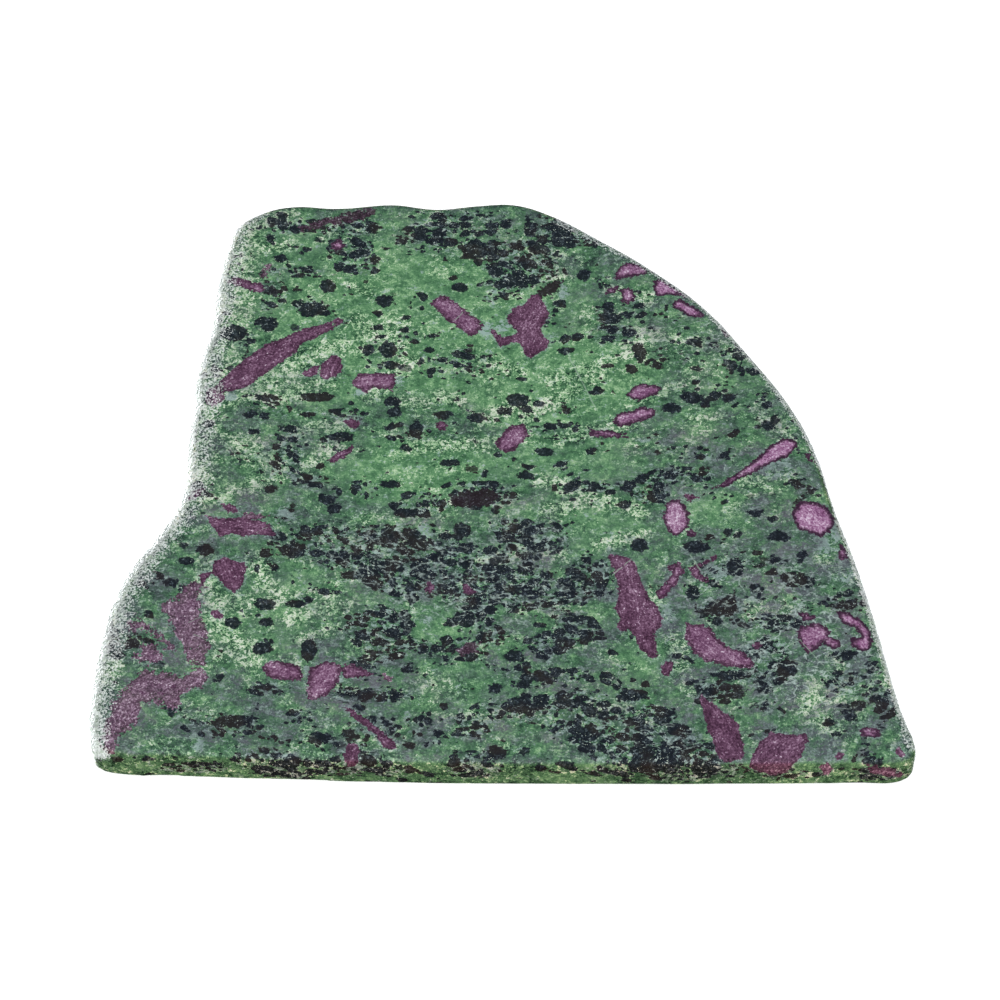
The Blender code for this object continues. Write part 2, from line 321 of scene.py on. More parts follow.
# Milky bluish patches: the middle, half width and half height, in pixels.
MILKY_PATCHES = (
    (400, 382, 7, 6), (231, 396, 8, 5), (486, 330, 7, 8), (503, 328, 7, 6), (563, 292, 5, 9),
    (420, 570, 9, 7), (378, 555, 6, 4), (293, 478, 5, 5), (540, 642, 5, 8), (306, 670, 3, 7),
    (340, 680, 4, 5), (645, 440, 8, 3), (707, 457, 5, 4), (710, 568, 14, 6), (775, 645, 14, 8),
    (822, 545, 9, 12), (845, 575, 12, 8), (782, 465, 12, 6), (360, 392, 6, 4), (385, 660, 8, 4),
    (600, 575, 10, 12), (425, 620, 10, 4), (200, 745, 6, 8), (408, 716, 4, 6), (668, 620, 10, 20),
    (845, 560, 12, 14), (836, 528, 12, 14), (716, 572, 20, 10),
    (776, 468, 20, 11), (284, 516, 12, 9), (548, 655, 5, 9), (424, 528, 6, 8),
)

# Where the stone has hardly a black grain: the middle, half width and half height, in pixels.
CLEAR_PATCHES = (
    (440, 275, 45, 14), (395, 275, 20, 14), (380, 460, 40, 14), (410, 475, 30, 10),
    (560, 365, 34, 14), (575, 260, 18, 16), (300, 240, 18, 8), (215, 455, 16, 16),
    (335, 330, 30, 8), (590, 540, 14, 10), (545, 395, 10, 6), (690, 425, 24, 6),
    (770, 470, 20, 14), (700, 515, 26, 12), (765, 545, 10, 8), (240, 545, 22, 8),
    (240, 640, 26, 16), (350, 600, 20, 8), (430, 605, 20, 8), (455, 675, 34, 12),
    (180, 660, 12, 7), (160, 740, 26, 12), (230, 690, 16, 10), (440, 700, 16, 14),
    (680, 695, 16, 14), (650, 660, 10, 16), (800, 700, 26, 18),
    (760, 720, 24, 8), (825, 745, 18, 10), (885, 750, 10, 8), (600, 660, 16, 6),
    (670, 590, 14, 12), (470, 745, 14, 6), (480, 405, 20, 8), (700, 425, 50, 14),
    (825, 565, 25, 18), (640, 520, 20, 10), (815, 722, 24, 14), (655, 575, 12, 16),
    (215, 560, 30, 16), (262, 585, 26, 14), (275, 628, 26, 12), (830, 552, 20, 22), (270, 625, 22, 14),
    (180, 520, 26, 16), (640, 420, 16, 20), (270, 350, 20, 10), (580, 310, 14, 18),
    (318, 372, 24, 14), (822, 718, 26, 20), (672, 372, 22, 12), (830, 560, 24, 30),
)

# Where the haze is thickest: the middle, half width and half height, in pixels, and how thick.
HAZY_PATCHES = (
    (700, 465, 90, 40, 0.7), (800, 580, 100, 120, 1.0), (700, 620, 60, 80, 0.9),
    (820, 700, 100, 90, 0.9), (565, 300, 40, 40, 1.0), (150, 620, 60, 70, 0.9),
    (310, 680, 120, 50, 0.9), (200, 740, 110, 40, 0.7), (720, 740, 70, 50, 1.0),
    (230, 520, 70, 30, 0.7), (380, 745, 150, 40, 0.8), (610, 620, 50, 50, 0.8),
    (530, 670, 60, 30, 0.5), (480, 580, 110, 40, 0.5),
)

# Where fine pale veins net the stone: the middle, half width and half height, in pixels, and how
# plain the veins are, from 0 to 1.
VEINED_PATCHES = (
    (810, 655, 75, 70, 1.0), (790, 585, 80, 30, 0.7), (470, 590, 110, 50, 0.7),
    (720, 585, 50, 30, 0.7), (640, 740, 60, 24, 0.6), (400, 560, 80, 40, 0.6),
    (690, 340, 60, 30, 0.5), (520, 530, 60, 30, 0.5),
)

# Where the green is clear and deep, with no bluish haze in it: the middle, half width and half
# height, in pixels, and how clear it is, from 0 to 1.
VIVID_PATCHES = (
    (420, 320, 190, 95, 1.0), (560, 380, 110, 60, 1.0), (420, 470, 90, 40, 1.0),
    (290, 260, 60, 50, 0.6), (250, 640, 70, 40, 0.5), (560, 455, 90, 40, 0.6),
    (280, 590, 70, 30, 0.5), (430, 625, 50, 24, 0.6), (640, 655, 30, 30, 0.6),
    (610, 430, 60, 40, 0.3), (715, 510, 36, 20, 0.7), (460, 680, 50, 20, 0.5),
    (680, 380, 60, 40, 0.3), (600, 520, 50, 30, 0.6),
)

# Where the worn rim is frosted and carries a painted highlight of the softboxes' reflection: points along
# each strip and its half width, in pixels.
FROSTED_AND_HIGHLIT_RIMS = (
    (10, ((255, 210), (236, 228), (228, 270), (219, 320), (207, 380), (197, 430), (191, 480))),
    (14, ((207, 385), (197, 430), (191, 480))),
    (16, ((191, 480), (174, 518), (150, 545), (129, 582))),
    (13, ((191, 480), (174, 518), (150, 545), (129, 582), (116, 618), (106, 660), (97, 710),
          (93, 750))),
    (4, ((560, 222), (640, 262), (702, 303), (764, 372), (804, 428), (829, 478), (849, 543),
         (869, 608), (890, 678), (911, 748))),
)

CRYSTAL_LEAN = Vector((0.0, 1 / tan(CAMERA_RISE)))  # how far crystals lean back as they go down
RUBY_TAPER = 0.12  # how much narrower a ruby is on each side, for each millimetre down


def distance_inside(points, corners):
    """How far each point is from a closed outline, negative inside it."""
    starts = np.asarray(corners, float)
    ends = np.roll(starts, -1, axis=0)
    nearest = np.full(len(points), np.inf)
    inside = np.zeros(len(points), bool)
    for start, end in zip(starts, ends):
        side = end - start
        offset = points - start
        share = np.clip(offset @ side / (side @ side), 0, 1)
        nearest = np.minimum(nearest, np.linalg.norm(offset - share[:, None] * side, axis=1))
        crosses = (start[1] > points[:, 1]) != (end[1] > points[:, 1])
        rise = side[1] if side[1] else 1.0
        meets = start[0] + side[0] * (points[:, 1] - start[1]) / rise
        inside ^= crosses & (points[:, 0] < meets)
    return np.where(inside, -nearest, nearest)


def oval(points, x, y, half_width, half_height):
    """0 at the edge of an oval seen in the view, 1 at its middle, and negative outside it."""
    middle, side, end = on_top(((x, y), (x + half_width, y), (x, y + half_height)))
    across = (points[:, 0] - middle[0]) / (side[0] - middle[0])
    along = (points[:, 1] - middle[1]) / (end[1] - middle[1])
    return 1 - np.hypot(across, along)


def softened(value, low, high):
    share = np.clip((value - low) / (high - low), 0, 1)
    return share * share * (3 - 2 * share)


def seen_places(places):
    """Each point moved along the crystals' lean to the top face, in millimetres of its plan."""
    depth = TOP / MM - places[:, 2]
    return places[:, :2] - depth[:, None] * np.array(CRYSTAL_LEAN), depth


def crystal_axes(corners):
    """The middle of an outline, and the directions along and across its longest way."""
    middle = corners.mean(axis=0)
    _, ways = np.linalg.eigh(np.cov((corners - middle).T))
    return middle, ways[:, ::-1]


def ruby_layers(plan, depth):
    """Each point's distance to the nearest ruby, that ruby's look, and its place along it."""
    nearest = np.full(len(plan), 99.0)
    look = np.zeros((len(plan), 4))
    along = np.zeros((len(plan), 3))
    for kind, pixels in RUBIES:
        corners = on_top(pixels)
        reach = distance_inside(plan, corners) + RUBY_TAPER * depth
        closer = reach < nearest
        nearest[closer] = reach[closer]
        look[closer] = RUBY_KINDS[kind][:4]
        middle, ways = crystal_axes(corners)
        along[closer, :2] = (plan[closer] - middle) @ ways
        along[closer, 2] = RUBY_KINDS[kind][4]
    return nearest, look, along


def grain_layer(plan):
    """Each point's distance to the nearest of the single black grains, in millimetres."""
    nearest = np.full(len(plan), 99.0)
    for x, y, half_length, half_height in GRAINS:
        middle, end = on_top(((x, y), (x, y + half_height)))
        size = abs(end[1] - middle[1])
        nearest = np.minimum(nearest, -oval(plan, x, y, half_length, half_height) * size)
    return nearest


def streak(plan, start, end, half_width):
    """1 along a straight streak seen in the view, fading to 0 beside it."""
    first, last, rim = on_top((start, end, (start[0], start[1] + half_width)))
    side = last - first
    share = np.clip((plan - first) @ side / (side @ side), 0, 1)
    gap = np.linalg.norm(plan - first - share[:, None] * side, axis=1)
    return 1 - softened(gap / abs(rim[1] - first[1]), 0.3, 1.8)


def frost_and_highlight_layer(plan):
    """How frosted the rim is at each point, and how strongly its painted highlight lies there, from 0 to
    1.
    """
    frost_and_highlight = np.zeros(len(plan))
    for half_width, points in FROSTED_AND_HIGHLIT_RIMS:
        for start, end in zip(points, points[1:]):
            frost_and_highlight = np.maximum(frost_and_highlight, streak(plan, start, end, half_width))
    return frost_and_highlight


def patch_layer(plan, patches):
    """How far each point lies in the nearest of these patches, from 0 to each one's share."""
    layer = np.zeros(len(plan))
    for x, y, half_width, half_height, share in patches:
        patch = softened(oval(plan, x, y, half_width, half_height), -0.25, 0.45)
        layer = np.maximum(layer, share * patch)
    return layer


def zone_layers(plan):
    """How dark, how flecked, how milky and how clear of grains the stone is at each point."""
    dark = np.full(len(plan), 0.0)
    flecked = np.zeros(len(plan))
    milky = np.zeros(len(plan))
    clear = np.zeros(len(plan))
    for x, y, half_width, half_height, share in SWARMS:
        dark = np.maximum(dark, share * softened(oval(plan, x, y, half_width, half_height), -0.3, 0.35))
    for x1, y1, x2, y2, half_width in FLECK_STREAKS:
        flecked = np.maximum(flecked, streak(plan, (x1, y1), (x2, y2), half_width))
    for patch in MILKY_PATCHES:
        milky = np.maximum(milky, softened(oval(plan, *patch), -0.5, 0.6))
    for patch in CLEAR_PATCHES:
        clear = np.maximum(clear, softened(oval(plan, *patch), -0.3, 0.4))
    return dark, flecked, milky, clear


# ---------------------------------------------------------------- the surface

VOXEL = 1.03 * MM
FLAT_UNDERSIDE = 0.05 * MM
SMOOTHING_STEPS = 8
PEBBLE_SIZES_MM = (9.0, 3.2, 1.5)
PEBBLE_HEIGHTS_MM = (0.035, 0.022, 0.012)


def remeshed(source):
    """A copy of a CAD node in even faces, as fine again on all but its flat underside."""
    slab = source.copy()
    slab.data = source.data.copy()
    slab.name = "ruby_zoisite_slab"
    slab.data.name = "ruby_zoisite_slab"
    slab.parent = None
    for key in list(slab.keys()):
        del slab[key]
    bpy.context.scene.collection.objects.link(slab)
    remesh = slab.modifiers.new("even_faces", "REMESH")
    remesh.mode = "VOXEL"
    remesh.voxel_size = VOXEL
    graph = bpy.context.evaluated_depsgraph_get()
    mesh = bpy.data.meshes.new_from_object(slab.evaluated_get(graph))
    slab.modifiers.clear()
    slab.data = mesh
    shape = bmesh.new()
    shape.from_mesh(mesh)
    fine = {
        edge
        for face in shape.faces
        if max(vertex.co.z for vertex in face.verts) > FLAT_UNDERSIDE
        for edge in face.edges
    }
    bmesh.ops.subdivide_edges(shape, edges=list(fine), cuts=1, use_grid_fill=True)
    shape.to_mesh(mesh)
    shape.free()
    return slab


def fit_to(mesh, source):
    """Moves each point onto the nearest place on the CAD node, so that no facet of the remesh stays."""
    tree = BVHTree.FromPolygons(
        [vertex.co for vertex in source.data.vertices],
        [polygon.vertices[:] for polygon in source.data.polygons],
    )
    for vertex in mesh.vertices:
        place, _, _, _ = tree.find_nearest(vertex.co)
        vertex.co = place


def soften(slab):
    """Rounds off the CAD node's facets, whose flat top and underside stay as they are."""
    smooth = slab.modifiers.new("soften", "SMOOTH")
    smooth.iterations = SMOOTHING_STEPS
    graph = bpy.context.evaluated_depsgraph_get()
    mesh = bpy.data.meshes.new_from_object(slab.evaluated_get(graph))
    slab.modifiers.clear()
    slab.data = mesh


def pebble(mesh):
    """Slight swellings and dents left by tumbling, on all but the flat underside."""
    places = [vertex.co.copy() for vertex in mesh.vertices]
    normals = [vertex.normal.copy() for vertex in mesh.vertices]
    for vertex, place, normal in zip(mesh.vertices, places, normals):
        if place.z < FLAT_UNDERSIDE:
            continue
        rise = sum(
            height * noise.noise(place / (size * MM))
            for size, height in zip(PEBBLE_SIZES_MM, PEBBLE_HEIGHTS_MM)
        )
        vertex.co = place + normal * rise * MM


def add_layer(mesh, name, kind, field, values):
    layer = mesh.attributes.new(name, kind, "POINT")
    layer.data.foreach_set(field, np.ascontiguousarray(values, np.float32).ravel())


def add_layers(mesh):
    places = np.empty(len(mesh.vertices) * 3, np.float32)
    mesh.vertices.foreach_get("co", places)
    plan, depth = seen_places(places.reshape(-1, 3).astype(float) / MM)
    ruby, look, along = ruby_layers(plan, depth)
    add_layer(mesh, "ruby", "FLOAT", "value", ruby)
    add_layer(mesh, "ruby_look", "FLOAT_COLOR", "color", look)
    add_layer(mesh, "ruby_axes", "FLOAT_VECTOR", "vector", along)
    add_layer(mesh, "grain", "FLOAT", "value", grain_layer(plan))
    add_layer(mesh, "frost_and_highlight", "FLOAT", "value", frost_and_highlight_layer(plan))
    add_layer(mesh, "vivid", "FLOAT", "value", patch_layer(plan, VIVID_PATCHES))
    add_layer(mesh, "hazy", "FLOAT", "value", patch_layer(plan, HAZY_PATCHES))
    add_layer(mesh, "veined", "FLOAT", "value", patch_layer(plan, VEINED_PATCHES))
    add_layer(mesh, "zones", "FLOAT_COLOR", "color", np.stack(zone_layers(plan), axis=1))


# --------------------------------------------------------------- the material

VEIL = (0.0088, 0.0116, 0.0152)  # the studio's light mirrored by the polish, added to every colour
STUDIO_LIGHT = 1.1  # how brightly the top face is lit, where 1 shows a colour as it is
DARKEST = 0.003


def seen_as(red, green, blue):
    """The albedo that shows as this 8-bit sRGB colour on the top face in the studio's light."""
    albedo = []
    for value, veil in zip((red, green, blue), VEIL):
        share = value / 255
        linear = share / 12.92 if share <= 0.04045 else ((share + 0.055) / 1.055) ** 2.4
        albedo.append(max((linear - veil) / STUDIO_LIGHT, DARKEST))
    return (*albedo, 1.0)


# How each mineral runs from its darkest to its lightest specks: steps of tone, and colours.
GREEN_TONES = (
    (-3.0, seen_as(28, 44, 42)), (-1.5, seen_as(56, 92, 68)), (-0.2, seen_as(80, 124, 89)),
    (0.8, seen_as(104, 152, 108)), (1.8, seen_as(143, 187, 138)), (2.7, seen_as(184, 216, 172)),
    (3.8, seen_as(236, 246, 224)),
)
BLACK_TONES = (
    (-3.0, seen_as(4, 7, 14)), (0.2, seen_as(35, 39, 48)), (1.2, seen_as(52, 59, 68)),
    (2.1, seen_as(90, 102, 110)), (3.4, seen_as(166, 184, 186)),
)
GLINT_TONES = (
    (0.0, seen_as(60, 70, 80)), (0.6, seen_as(108, 124, 130)), (1.1, seen_as(190, 204, 190)),
)
PLUM_TONES = (
    (-3.0, seen_as(44, 30, 42)), (-1.0, seen_as(79, 54, 72)), (0.4, seen_as(108, 76, 99)),
    (1.3, seen_as(140, 105, 131)), (2.2, seen_as(184, 154, 177)), (3.2, seen_as(242, 230, 242)),
)
PINK_TONES = (
    (-3.0, seen_as(88, 50, 80)), (-1.0, seen_as(142, 95, 134)), (0.4, seen_as(180, 138, 172)),
    (1.5, seen_as(214, 184, 210)), (3.0, seen_as(244, 232, 246)),
)
MILKY = seen_as(164, 188, 184)
HAZE_AND_SHEEN_TONES = (
    (-2.0, seen_as(70, 70, 82)), (0.0, seen_as(96, 105, 109)), (1.2, seen_as(129, 149, 144)),
    (2.6, seen_as(188, 209, 199)),
)
MAUVE_HAZE = seen_as(106, 98, 112)
SOFT_DARK = seen_as(50, 60, 66)
BROWN_BLACK = seen_as(54, 46, 44)
# the white of the frosted rim and of the highlight painted on it
FROST_AND_HIGHLIGHT = seen_as(236, 242, 238)
PALE_SPECK = seen_as(218, 234, 214)
VEIN = seen_as(190, 210, 202)
RIM_PURPLE = seen_as(58, 40, 58)
CRACK = seen_as(176, 200, 180)
SIDES_LIT_WARMER = (1.1, 0.88, 0.78)  # painted light: how the sides differ from the top face, yellower as if lit warmer and without its sky sheen

PERLIN_SPREAD = 7.0  # turns noise that spreads about a seventh either way into one that spreads 1
EVEN_SPREAD = 3.46  # does so for values that lie evenly between 0 and 1

FOLD = 0.00165  # how much the stone's layers bend back towards its two sides, per millimetre
FOLD_STRETCH = 1.3  # how much longer the grains are along the layers than across them
WARPS = ((22.0, 3.0), (6.0, 0.9), (1.6, 0.15))  # wavelength and reach of the layers' waviness, in mm

# Fine pale cracks and scratches: both ends in pixels of the view, and their width in millimetres.
CRACKS = (
    (567, 352, 580, 378, 0.26), (580, 378, 597, 410, 0.22), (455, 320, 463, 312, 0.18),
    (612, 575, 632, 559, 0.2), (740, 646, 755, 641, 0.12), (190, 655, 207, 640, 0.1),
    (770, 655, 800, 640, 0.14), (790, 660, 835, 672, 0.14), (800, 640, 845, 690, 0.14),
    (760, 700, 800, 672, 0.12), (700, 570, 690, 555, 0.2), (188, 622, 204, 616, 0.1),
    (194, 634, 207, 640, 0.1), (256, 532, 268, 527, 0.1),
)


class Net:
    """The nodes of one material. Each method adds nodes and returns their output socket."""

    def __init__(self, tree):
        self.tree = tree

    def node(self, kind, inputs=(), **settings):
        node = self.tree.nodes.new(kind)
        for name, value in settings.items():
            setattr(node, name, value)
        for key, value in dict(inputs).items():
            if isinstance(value, bpy.types.NodeSocket):
                self.tree.links.new(value, node.inputs[key])
            else:
                node.inputs[key].default_value = value
        return node

    def layer(self, name):
        return self.node("ShaderNodeAttribute", attribute_name=name)

    def math(self, operation, *values):
        return self.node("ShaderNodeMath", enumerate(values), operation=operation).outputs[0]

    def add(self, a, b):
        return self.math("ADD", a, b)

    def less(self, a, b):
        return self.math("SUBTRACT", a, b)

    def times(self, a, b):
        return self.math("MULTIPLY", a, b)

    def most(self, a, b):
        return self.math("MAXIMUM", a, b)

    def other(self, share):
        return self.math("SUBTRACT", 1.0, share)

    def vector(self, operation, *values, output=0):
        return self.node("ShaderNodeVectorMath", enumerate(values), operation=operation).outputs[output]

    def split(self, vector):
        return self.node("ShaderNodeSeparateXYZ", {0: vector}).outputs

    def join(self, x, y, z):
        return self.node("ShaderNodeCombineXYZ", {0: x, 1: y, 2: z}).outputs[0]

    def ramp(self, value, low, high, start=0.0, end=1.0):
        """Goes smoothly from start to end as a value goes from low to high."""
        inputs = {0: value, 1: low, 2: high, 3: start, 4: end}
        return self.node("ShaderNodeMapRange", inputs, interpolation_type="SMOOTHSTEP").outputs[0]

    def noise(self, places, size, detail=2.0, roughness=0.5, output=0):
        """Cloudy values around 0.5, in patches of this size in millimetres."""
        inputs = {"Vector": places, "Scale": 1 / size, "Detail": detail, "Roughness": roughness}
        return self.node("ShaderNodeTexNoise", inputs).outputs[output]

    def cells(self, places, size, feature="F1"):
        """Cells of this size in millimetres: a node with each cell's distance and random colour."""
        inputs = {"Vector": places, "Scale": 1 / size}
        return self.node("ShaderNodeTexVoronoi", inputs, feature=feature).outputs

    def grit(self, places, size, octaves=5):
        """Rough noise around 0, spread about 1 either way, from this size in millimetres down."""
        inputs = {"Vector": places, "Scale": 1 / size, "Detail": octaves - 1, "Roughness": 1.0}
        rough = self.node("ShaderNodeTexNoise", inputs).outputs[0]
        return self.times(self.less(rough, 0.5), PERLIN_SPREAD * octaves ** 0.5)

    def crumbs(self, places, size):
        """Crystals of this size in millimetres: three values for each, around 0 and spread 1."""
        spread = self.vector("SUBTRACT", self.cells(places, size)["Color"], (0.5, 0.5, 0.5))
        return self.split(self.vector("MULTIPLY", spread, (EVEN_SPREAD,) * 3))

    def threads(self, places, size, width):
        """1 on thin winding lines this far apart, fading to 0 beside them."""
        wander = self.math("ABSOLUTE", self.less(self.noise(places, size, 3.0, 0.6), 0.5))
        return self.ramp(wander, 0.0, width, 1.0, 0.0)

    def dots(self, places, size, share, radius):
        """Small round specks, one in this share of the cells of this size."""
        cell = self.cells(places, size)
        there = self.math("LESS_THAN", self.split(cell["Color"])[0], share)
        return self.times(self.ramp(cell["Distance"], radius * 0.6, radius, 1.0, 0.0), there)

    def tones(self, value, steps):
        """The colour that a row of (value, colour) steps gives this value."""
        low, high = steps[0][0], steps[-1][0]
        ramp = self.node("ShaderNodeValToRGB", {0: self.math("DIVIDE", self.less(value, low), high - low)})
        marks = ramp.color_ramp.elements
        while len(marks) < len(steps):
            marks.new(1.0)
        for mark, (place, colour) in zip(marks, steps):
            mark.position = (place - low) / (high - low)
            mark.color = colour
        return ramp.outputs[0]

    def paint(self, share, under, over):
        """One colour laid over another, as thickly as share says."""
        inputs = {0: share, 6: under, 7: over}
        return self.node("ShaderNodeMix", inputs, data_type="RGBA").outputs[2]

    def shake(self, places, size, reach, detail=2.0):
        """The places moved about by up to this reach, in waves of this size."""
        drift = self.noise(places, size, detail, output=1)
        drift = self.vector("SUBTRACT", drift, (0.5, 0.5, 0.5))
        drift = self.vector("MULTIPLY", drift, (2 * reach, 2 * reach, 2 * reach))
        return self.vector("ADD", places, drift)


def layered_places(net, places):
    """The stone's own coordinates: folded, wavy, and drawn out along its layers."""
    x, y, z = net.split(places)
    bend = net.times(net.times(x, x), FOLD)
    layered = net.join(net.math("DIVIDE", x, FOLD_STRETCH), net.less(y, bend), z)
    for size, reach in WARPS:
        layered = net.shake(layered, size, reach)
    return layered


def felt(net, places):
    """Rough values of a web of fine fibres that lie every way, around 0 and spread 1."""
    x, y, z = net.split(net.shake(places, 2.4, 1.1))
    return net.grit(net.join(net.times(x, 0.55), y, net.times(z, 0.55)), 1.1, 4)


def zoisite(net, places, layered, zones, crowding):
    """The green of the stone: clouded and felted, with pale strands and milky patches."""
    clouds = net.ramp(net.noise(layered, 6.0, 3.0), 0.42, 0.66)
    wanted = net.most(net.times(clouds, 0.55), zones["flecked"])
    wanted = net.add(wanted, crowding)
    tone = net.add(net.times(zones["grit"], 0.4), net.times(net.grit(layered, 9.0, 3), 0.45))
    tone = net.add(tone, net.times(zones["large"][0], 0.38))
    tone = net.add(tone, net.times(zones["small"][0], 0.4))
    tone = net.add(tone, net.times(zones["tiny"][0], 0.35))
    least = net.less(1.15, net.times(wanted, 1.65))
    curds = net.add(net.times(zones["felt"], 0.62), net.times(zones["fine"], 0.32))
    curds = net.add(curds, net.times(zones["small"][1], 0.62))
    pale = net.ramp(net.less(curds, least), 0.0, 0.9)
    tone = net.add(tone, net.times(pale, net.add(net.times(wanted, 1.1), 1.9)))
    tone = net.add(tone, net.times(zones["fine"], net.add(net.times(wanted, 0.35), 0.2)))
    calm = net.ramp(net.less(zones["vivid"], wanted), -0.2, 0.6)
    tone = net.add(net.times(tone, net.other(net.times(calm, 0.3))), net.times(calm, 0.92))
    strands = net.times(net.threads(layered, 2.0, 0.03), net.ramp(zones["grit"], -0.6, 1.0))
    tone = net.add(tone, net.times(strands, net.add(net.times(wanted, 1.2), 0.7)))
    green = net.tones(net.less(tone, 0.35), GREEN_TONES)
    milky = net.add(net.times(zones["milky"], 2.2), net.times(zones["grit"], 0.5))
    milky = net.add(milky, net.times(zones["felt"], 0.7))
    return net.paint(net.times(net.ramp(milky, 0.9, 2.4), 0.85), green, MILKY)


def grain_cells(net, layered, size, share, small, large, ragged):
    """Rounded grains in cells of one size, and the ring round each. Share of the cells hold one."""
    cell = net.cells(layered, size)
    chance, width, _ = net.split(cell["Color"])
    present = net.ramp(net.less(share, chance), 0.0, 0.03)
    radius = net.add(net.ramp(width, 0.0, 1.0, small, large), net.times(share, 0.16))
    inside = net.add(net.less(radius, cell["Distance"]), ragged)
    grain = net.times(net.ramp(inside, -0.02, 0.05), present)
    ring = net.times(net.ramp(inside, -0.25, -0.02), present)
    return grain, ring


def black_grains(net, places, layered, zones):
    """Where amphibole shows black: listed grains, and swarms of smaller ones."""
    bands = net.noise(layered, 7.0, 3.0, 0.6)
    share = net.add(net.times(zones["dark"], 0.85), net.ramp(bands, 0.5, 0.72, 0.0, 0.45))
    share = net.times(net.add(share, 0.05), net.other(net.times(zones["clear"], 0.95)))
    frayed = net.shake(layered, 0.6, 0.2, 2.0)
    ragged = net.add(net.times(zones["felt"], -0.035), net.times(zones["small"][2], 0.025))
    coarse, coarse_ring = grain_cells(net, frayed, 2.1, share, 0.34, 0.54, ragged)
    fine, fine_ring = grain_cells(net, frayed, 0.95, net.times(share, 0.8), 0.3, 0.54, ragged)
    shape = net.add(net.times(net.grit(places, 1.3, 2), 0.1), net.times(ragged, -3.0))
    placed = net.ramp(net.add(zones["grain"], shape), -0.08, 0.1, 1.0, 0.0)
    ring = net.most(coarse_ring, fine_ring)
    return net.most(net.most(coarse, fine), placed), share, ring


def hazed_with_top_sheen(net, stone, layered, zones):
    """The stone under a thin bluish haze, which leaves some patches clear: partly the stone's own
    milkiness, partly a painted sky sheen, as it lies on the top face only.
    """
    thick = net.ramp(net.noise(layered, 4.0, 3.0), 0.35, 0.68, 0.1, 0.6)
    thick = net.times(thick, net.other(net.times(zones["vivid"], 0.93)))
    thick = net.times(thick, net.add(net.times(zones["hazy"], 0.7), 1.0))
    thick = net.times(thick, net.ramp(zones["felt"], -1.5, 1.5, 0.6, 1.4))
    tone = net.add(net.times(zones["felt"], 0.45), net.times(zones["fine"], 0.35))
    haze = net.tones(net.add(tone, net.times(zones["small"][1], 0.4)), HAZE_AND_SHEEN_TONES)
    mauve = net.ramp(net.noise(layered, 9.0, 2.0), 0.45, 0.68)
    haze = net.paint(net.times(mauve, 0.5), haze, MAUVE_HAZE)
    # painted sheen: the haze is laid on the top face only
    return net.paint(net.times(thick, zones["top"]), stone, haze)


def dark_stone(net, places, layered, zones):
    """The green with its haze, partly a painted sheen on the top face, and soft shadows, its black grains,
    and the pale specks on all.
    """
    grains, share, ring = black_grains(net, places, layered, zones)
    green = zoisite(net, places, layered, zones, net.times(ring, 0.45))
    stone = hazed_with_top_sheen(net, green, layered, zones)
    shade = net.times(net.ramp(share, 0.25, 0.95), net.ramp(net.noise(layered, 2.2, 2.0), 0.35, 0.6))
    stone = net.paint(net.times(shade, 0.45), stone, SOFT_DARK)
    bluish = net.times(net.ramp(share, 0.3, 0.9, 0.0, 0.6), net.ramp(zones["felt"], 0.2, 1.2))
    stone = net.paint(bluish, stone, MILKY)
    tone = net.add(net.times(zones["grit"], 0.3), net.times(zones["tiny"][1], 0.6))
    tone = net.add(tone, net.times(zones["small"][1], 0.4))
    tone = net.add(tone, net.times(zones["fine"], 0.4))
    black = net.tones(tone, BLACK_TONES)
    warm = net.times(net.ramp(net.noise(places, 6.0), 0.48, 0.62), 0.5)
    black = net.paint(warm, black, BROWN_BLACK)
    least = net.ramp(share, 0.3, 0.95, 1.9, 1.2)
    glint = net.ramp(net.less(zones["felt"], least), 0.0, 1.0)
    glint_colour = net.tones(net.add(glint, net.times(zones["tiny"][2], 0.15)), GLINT_TONES)
    black = net.paint(net.ramp(glint, 0.0, 0.35), black, glint_colour)
    stone = net.paint(net.times(grains, 0.96), stone, black)
    stone = net.paint(veins(net, layered, zones), stone, VEIN)
    rare = net.less(net.add(zones["fine"], net.times(zones["tiny"][0], 0.35)), 2.5)
    specks = net.ramp(net.add(rare, net.times(net.most(share, zones["flecked"]), 0.6)), 0.0, 0.8)
    return net.paint(net.times(specks, 0.85), stone, PALE_SPECK)


def veins(net, layered, zones):
    """How thickly fine pale veins lie, on the patches that are netted with them."""
    places = net.shake(layered, 1.2, 0.3)
    wander = net.math("ABSOLUTE", net.less(net.noise(places, 2.8, 1.5), 0.5))
    lines = net.ramp(wander, 0.0, 0.036, 1.0, 0.0)
    lines = net.times(lines, net.ramp(zones["felt"], -0.8, 0.4))
    return net.times(net.times(lines, zones["veined"]), 0.75)


def frosted_and_highlit(net, colour, zones):
    """The worn rim with a painted highlight: white all over lower down and in countless small specks
    further in, among darker specks.
    """
    fine = net.add(net.times(zones["fine"], 0.7), net.times(zones["tiny"][1], 0.5))
    inner = net.times(zones["frost_and_highlight"], net.other(zones["outer"]))
    dark = net.times(net.ramp(fine, -1.2, -0.5, 1.0, 0.0), net.times(inner, 0.75))
    colour = net.paint(dark, colour, SOFT_DARK)
    least = net.less(net.ramp(zones["frost_and_highlight"], 0.0, 1.0, 1.5, -0.3), net.times(zones["outer"], 1.7))
    # painted highlight: the rim whitened all over lower down, in specks further in
    white = net.times(net.ramp(net.less(fine, least), 0.0, 0.8), net.ramp(zones["frost_and_highlight"], 0.0, 0.5))
    white = net.times(white, net.ramp(zones["felt"], -1.4, 1.4, 0.45, 0.92))
    return net.paint(white, colour, FROST_AND_HIGHLIGHT)


